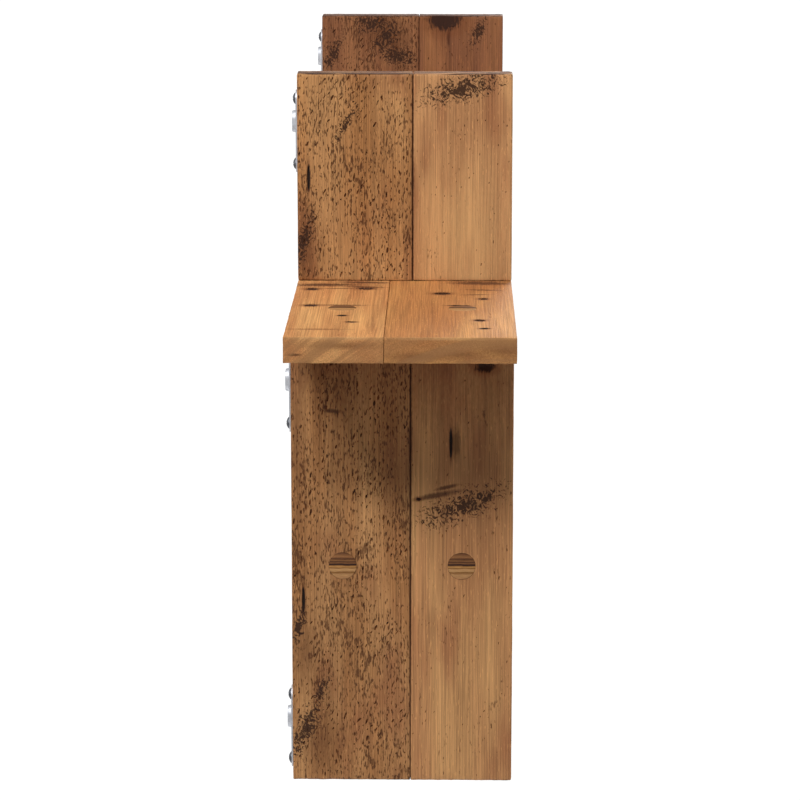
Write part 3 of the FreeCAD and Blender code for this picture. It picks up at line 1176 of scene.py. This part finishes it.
@dataclass
class Board:
    """A rear and a front plank glued edge to edge, with the plugs that are let into them."""

    name: str
    lie: Lie
    rear: WoodFinish
    front: WoodFinish
    rear_flecks: FleckField | None = None
    front_flecks: FleckField | None = None
    plug_sets: dict[str, tuple[tuple[float, ...], Vector, Vector]] = field(default_factory=dict)
    ARRISES: ClassVar = {Lie.LEVEL: (0.35, 0.6), Lie.UPRIGHT: (0.9, 0.45)}  # mm, bevel and wear

    def build(self, shop: Shop) -> list[bpy.types.Object]:
        """Make both planks and the board's plugs.

        Args:
            shop: What all planks share.

        Returns:
            The finished pieces.
        """
        rows = plug_rows(self.name + "_rear_plank")
        made = []
        bores: tuple[list, list] = ([], [])
        for node, (across, outwards, dark_way) in self.plug_sets.items():
            low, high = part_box(node)
            places = []
            for at in across:
                for row, row_y in enumerate(rows):
                    centre = (low + high) / 2
                    centre.y = row_y
                    if self.lie is Lie.LEVEL:
                        centre.x = at
                        centre.z = high.z if outwards.z > 0 else low.z
                    else:
                        centre.x = high.x if outwards.x > 0 else low.x
                    places.append((centre, outwards, dark_way))
                    bores[row].append((centre, outwards))
            made.append(PlugSet(node, tuple(places)).build())
        arris, wear = self.ARRISES[self.lie]
        for side, finish, flecks, holes in (
            ("rear", self.rear, self.rear_flecks, bores[0]),
            ("front", self.front, self.front_flecks, bores[1]),
        ):
            node = f"{self.name}_{side}_plank"
            plank = Plank(
                node=node,
                slot=f"{side}_plank_wood",
                lie=self.lie,
                finish=finish,
                marks=MARKS[node],
                flecks=flecks,
                plugs=tuple(holes),
                arris=arris,
                wear=wear,
            )
            made.append(plank.build(shop))
        return made


@dataclass
class Steelwork:
    """The keyhole plates and all screws: CAD meshes with steel finishes."""

    # plates pale and soft, hanger screws charcoal with small bright edges, board screws a warm grey
    zinc: SteelFinish = SteelFinish("zinc_plated_steel", "D6D7DB", "B4B6BB", (0.5, 0.66), 1.2)
    dark: SteelFinish = SteelFinish("dark_zinc_screw_steel", "74767B", "4A4C51", (0.36, 0.55), 0.6)
    board: SteelFinish = SteelFinish("zinc_screw_steel", "B9B6A6", "8E8B7C", (0.35, 0.5), 0.8)

    def build(self) -> None:
        """Dress the CAD nodes."""
        plates, hanger_screws, board_screws = self.zinc.build(), self.dark.build(), self.board.build()
        for name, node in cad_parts.items():
            if name.startswith("hanger_"):
                steel = plates
            elif name.endswith("hanger_screws"):
                steel = hanger_screws
            elif name.endswith("_screws"):
                steel = board_screws
            else:
                continue
            if not node.material_slots:
                node.data.materials.append(steel)
            for slot in node.material_slots:
                slot.material = steel
            log.info("%s: %s", name, steel.name)


@dataclass
class Studio:
    """Pale floor, far below as under a shelf on a wall, soft lights and the camera."""

    floor_below: float = 1.15  # m
    camera_at: Vector = field(default_factory=lambda: Vector((-2360.4, -118.1, 594.9)) * MM)
    yaw: float = 1.01  # degrees from the shelf's length, towards the wall
    pitch: float = 10.46  # degrees below level
    lens: float = 130.82  # mm
    shift_y: float = -0.18

    def floor(self) -> None:
        """Lay a plain pale floor well below the shelf."""
        bpy.ops.object.select_all(action="DESELECT")
        bpy.ops.mesh.primitive_plane_add(size=3, location=(0, 0, -self.floor_below))
        floor = bpy.context.object
        floor.name = "studio_floor"
        material = bare_material("matt_white_floor_paint")
        tree = material.node_tree
        where = add_node(tree, "TexCoord").outputs["Object"]
        cloud = add_node(tree, "TexNoise", {"Vector": where, "Scale": 3.0})
        colour = add_node(tree, "Mix", {0: cloud, 6: linear("F6F6F6"), 7: linear("FAFAFA")}, data_type="RGBA")
        sockets = {
            "Base Color": colour.outputs[2],
            "Roughness": 0.9,
            "Emission Color": linear("FFFFFF"),
            "Emission Strength": 0.55,
        }
        shader = add_node(tree, "BsdfPrincipled", sockets)
        add_node(tree, "OutputMaterial", {"Surface": shader})
        floor.data.materials.append(material)

    def lights(self) -> None:
        """Hang a key above the near end, weaker fills round about, and a white surround."""
        aim = Vector((-0.2, -0.08, 0.08))
        # places and sizes in metres, power in watts
        for name, place, width, height, power in (
            ("key", Vector((-1.98, 0.84, 2.52)), 1.6, 0.42, 109.0),
            ("far_end", Vector((1.9, -0.9, 1.0)), 1.2, 1.2, 34.0),
            ("front", Vector((0.0, -2.4, 0.8)), 1.6, 1.6, 26.0),
            ("back", Vector((0.3, 2.4, 0.9)), 1.6, 1.6, 24.0),
        ):
            data = bpy.data.lights.new(name, "AREA")
            data.shape = "RECTANGLE"
            data.size = width
            data.size_y = height
            data.energy = power
            lamp = bpy.data.objects.new(name, data)
            bpy.context.scene.collection.objects.link(lamp)
            lamp.location = place
            lamp.rotation_euler = (aim - place).to_track_quat("-Z", "Y").to_euler()
            lamp.visible_camera = False
        world = bpy.data.worlds.new("white_surround")
        bpy.context.scene.world = world
        world.use_nodes = True
        tree = world.node_tree
        tree.nodes.clear()
        ray = add_node(tree, "LightPath").outputs
        shine = add_node(tree, "Math", {0: ray["Is Glossy Ray"], 1: 0.4, 2: 0.078}, operation="MULTIPLY_ADD")
        glow = add_node(tree, "Math", {0: ray["Is Camera Ray"], 1: 1.0, 2: shine}, operation="MULTIPLY_ADD")
        sky = add_node(tree, "Background", {"Color": (1, 1, 1, 1), "Strength": glow})
        add_node(tree, "OutputWorld", {"Surface": sky})
        bpy.context.scene.view_settings.view_transform = "Standard"

    def camera(self) -> None:
        """Set the camera off the left end, level with the wall, looking slightly down."""
        yaw, pitch = math.radians(self.yaw), math.radians(self.pitch)
        ahead = Vector((math.cos(yaw) * math.cos(pitch), math.sin(yaw) * math.cos(pitch), -math.sin(pitch)))
        data = bpy.data.cameras.new("camera")
        data.sensor_width = 36.0
        data.lens = self.lens
        data.shift_y = self.shift_y
        data.clip_start = 0.1
        data.clip_end = 100.0
        camera = bpy.data.objects.new("camera", data)
        bpy.context.scene.collection.objects.link(camera)
        camera.location = self.camera_at
        camera.rotation_euler = ahead.to_track_quat("-Z", "Y").to_euler()
        bpy.context.scene.camera = camera

    def build(self) -> None:
        """Set up the whole studio."""
        self.floor()
        self.lights()
        self.camera()


# ---------------------------------------------------------------- the object's own marks

KNOT, SLIT, STAIN = MarkKind.KNOT, MarkKind.SLIT, MarkKind.STAIN
SCRIBBLE, OLIVE = MarkKind.SCRIBBLE, MarkKind.OLIVE
STREAK, PALE = MarkKind.STREAK, MarkKind.PALE
UP = Vector((0, 0, 1))
RIGHT = Vector((1, 0, 0))
# the uprights' dark glue line, worn open in places
SEAM = (Mark(STREAK, 100, 86, 620, 1.7), Mark(STREAK, 78, 86, 60, 2.6))

# the marks of every plank, in mm; those at along 0 of a shelf show on its end
MARKS: dict[str, tuple[Mark, ...]] = {
    "main_shelf_rear_plank": (
        Mark(KNOT, 170, 12, 9, 11),
        Mark(STAIN, 186, 30, 16, 60),
        Mark(KNOT, 109, 14, 8, 12),
        Mark(STAIN, 110, 38, 5, 34),
        Mark(KNOT, 172, 52, 9, 14),
        Mark(SLIT, 73, 38, 5, 7),
        Mark(SLIT, 51, 45, 4, 9),
        Mark(STREAK, 172, 32, 3.0, 30, -3),
        Mark(STREAK, 110, 34, 3.0, 34, 3),
        Mark(STAIN, 26, 22, 5, 40),
        Mark(STREAK, 0, 8, 3.0, 10, into=12.5, reach=1.0),
        Mark(STAIN, 0, 40, 3.0, 44, into=6, reach=2.5),
        # painted highlight: a pale line along the top arris of the shelf's end face
        Mark(PALE, 0, 36, 3.0, 82, into=0.8, reach=1.3),
        Mark(STREAK, 196, 50, 8, 46, 4),
        Mark(STREAK, 186, 20, 10, 44, -3),
        Mark(STREAK, 178, 52, 6, 30, 5),
        Mark(KNOT, 430, 28, 15, 11),
        Mark(KNOT, 655, 50, 12, 9),
        Mark(SLIT, 560, 14, 18, 2.2),
        Mark(KNOT, 300, 44, 12, 10, far_face=True),
        Mark(KNOT, 610, 24, 16, 12, far_face=True),
    ),
    "main_shelf_front_plank": (
        Mark(KNOT, 154, 108, 9, 14),
        Mark(SLIT, 110, 120, 3, 17),
        Mark(KNOT, 58, 135, 7, 9),
        Mark(SLIT, 30, 138, 5, 8),
        Mark(KNOT, 134, 138, 7, 8),
        Mark(STREAK, 194, 138, 13, 50, 3),
        # painted highlight: a pale line along the top arris of the shelf's end face
        Mark(PALE, 0, 118, 3.0, 100, into=0.8, reach=1.3),
        Mark(STREAK, 168, 138, 4.0, 26, 6),
        Mark(STREAK, 150, 133, 3.0, 22, -5),
        Mark(STAIN, 0, 92, 3.0, 44, into=13.5, reach=3.0),
        Mark(STAIN, 0, 122, 3.0, 44, into=12.0, reach=3.6),
        Mark(STAIN, 0, 150, 3.0, 40, into=9.0, reach=5.0),
        Mark(KNOT, 382, 122, 14, 11),
        Mark(KNOT, 575, 97, 11, 8),
        Mark(KNOT, 690, 136, 16, 12),
        Mark(SLIT, 480, 150, 22, 2.4),
        Mark(KNOT, 210, 110, 14, 11, far_face=True),
        Mark(KNOT, 520, 132, 17, 13, far_face=True),
    ),
    "lower_shelf_rear_plank": (
        Mark(KNOT, 140, 34, 15, 12),
        Mark(KNOT, 470, 52, 12, 9),
        Mark(SLIT, 330, 12, 20, 2.2),
    ),
    "lower_shelf_front_plank": (
        Mark(KNOT, 255, 128, 16, 12),
        Mark(STAIN, 255, 128, 60, 30),
        Mark(KNOT, 560, 98, 11, 8),
    ),
    "lower_left_upright_rear_plank": (
        Mark(SLIT, 196, 8.5, 21, 2.5),
        Mark(STREAK, 55, 29.5, 3.2, 14, -4),
        Mark(STREAK, 52.5, 24.5, 5, 2.6),
        # painted shadow: a dark patch at the top of this plank, standing in for the shade the main shelf
        # casts on it
        Mark(STAIN, 0, 50, 84, 120),
        Mark(STAIN, 70, 4, 170, 13),
        *SEAM,
        Mark(STAIN, 236, 10, 56, 20),
        Mark(STAIN, 302, 20, 44, 30),
        Mark(SCRIBBLE, 294, 9, 40, 11, -24),
        Mark(SCRIBBLE, 268, 20, 24, 7, -24),
        Mark(SCRIBBLE, 216, 5, 26, 7, -15),
    ),
    "lower_left_upright_front_plank": (
        Mark(SCRIBBLE, 125, 123, 15, 48, 22),
        Mark(KNOT, 22, 139, 9, 15),
        Mark(SLIT, 78.5, 115, 25, 2.4),
        Mark(OLIVE, 78.5, 118.6, 23, 6.5),
        Mark(STREAK, 117, 105, 4.4, 36, 11),
        Mark(STREAK, 111, 112, 3.0, 18, 14),
        Mark(KNOT, 120, 92, 2.4, 4.0),
        # painted shadow: a dark patch at the top of this plank, standing in for the shade the main shelf
        # casts on it
        Mark(STAIN, 0, 116, 92, 130),
        *SEAM,
    ),
    "lower_right_upright_rear_plank": (
        Mark(SLIT, 120, 62, 19, 2.4, far_face=True),
        Mark(KNOT, 262, 30, 13, 10, far_face=True),
    ),
    "lower_right_upright_front_plank": (
        Mark(SCRIBBLE, 62, 118, 16, 44, -18, far_face=True),
        Mark(KNOT, 250, 134, 18, 13, far_face=True),
        Mark(KNOT, 96, 112, 15, 12),
    ),
    "upper_left_upright_rear_plank": (
        Mark(SLIT, 78, 8.5, 21, 2.5),
        Mark(SCRIBBLE, 122, 6, 34, 8, -18),
        Mark(SCRIBBLE, 38, 36, 26, 5, -28),
        Mark(STAIN, 130, 4, 60, 14),
        Mark(KNOT, 104, 52, 14, 11, far_face=True),
        *SEAM,
    ),
    "upper_left_upright_front_plank": (
        Mark(SCRIBBLE, 11, 123, 15, 48, 14),
        # painted light: the lower part of this plank made paler, standing in for light bounced up off the
        # main shelf, partly paler wood
        Mark(PALE, 125, 125, 110, 60),
        *SEAM,
        Mark(KNOT, 60, 130, 16, 12, far_face=True),
    ),
    "upper_right_upright_rear_plank": (
        Mark(SCRIBBLE, 7, 44, 14, 26),
        Mark(SCRIBBLE, 18, 57, 28, 15, -25),
        Mark(SCRIBBLE, 36, 68, 14, 28, -10),
        Mark(SCRIBBLE, 33, 10, 24, 10, -25),
        Mark(STAIN, 14, 50, 34, 40),
        *SEAM,
    ),
    "upper_right_upright_front_plank": (
        Mark(KNOT, 3, 108, 22, 32),
        Mark(STREAK, 18, 112, 16, 3.0),
        Mark(SCRIBBLE, 14, 138, 22, 9, -20),
        Mark(KNOT, 88, 128, 17, 13, far_face=True),
    ),
}


def boards() -> list[Board]:
    """List the shelves and uprights.

    Returns:
        The six boards, in the order they are built.
    """
    lower_x, upper_x = (
        tuple(
            sum(corner.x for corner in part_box(f"{tier}_{side}_upright_rear_plank")) / 2
            for side in ("left", "right")
        )
        for tier in ("lower", "upper")
    )
    return [
        Board(
            "main_shelf",
            Lie.LEVEL,
            rear=SHELF,
            front=replace(SHELF, light="C28B50", middle="AC7342", red="A56A3A", seed=4.0),
            plug_sets={
                "main_top_plugs": (lower_x, UP, RIGHT),
                "main_underside_plugs": (upper_x, -UP, RIGHT),
            },
        ),
        Board(
            "lower_shelf",
            Lie.LEVEL,
            rear=replace(SHELF, seed=9.0),
            front=replace(SHELF, seed=10.0),
        ),
        Board(
            "lower_left_upright",
            Lie.UPRIGHT,
            rear=replace(REAR, light="C3905D", middle="A77345"),
            front=FRONT,
            rear_flecks=FleckField(),
            front_flecks=FEW,
            plug_sets={"left_upright_plugs": ((0.0,), -RIGHT, UP)},
        ),
        Board(
            "lower_right_upright",
            Lie.UPRIGHT,
            rear=replace(REAR, seed=11.0),
            front=replace(FRONT, seed=12.0),
            rear_flecks=FleckField(),
            plug_sets={"right_upright_plugs": ((0.0,), RIGHT, UP)},
        ),
        Board(
            "upper_left_upright",
            Lie.UPRIGHT,
            rear=replace(REAR, seed=5.0),
            front=replace(FRONT, light="D09C68", middle="BC885A", seed=6.0),
            rear_flecks=FleckField(),
            front_flecks=FEW,
        ),
        Board(
            "upper_right_upright",
            Lie.UPRIGHT,
            rear=SHADE_DARKENED_REAR,
            front=SHADE_DARKENED_FRONT,
            rear_flecks=FleckField(),
            front_flecks=replace(FEW, keep=0.17),
        ),
    ]


def main() -> None:
    """Build the shelf's looks in order, then the studio."""
    logging.basicConfig(level=logging.INFO, format="%(name)s: %(message)s")
    shop = Shop(GrainGroup(), ball(), fleck_wall_material())
    for board in boards():
        board.build(shop)
    Steelwork().build()
    Studio().build()


if __name__ == "__main__":
    main()
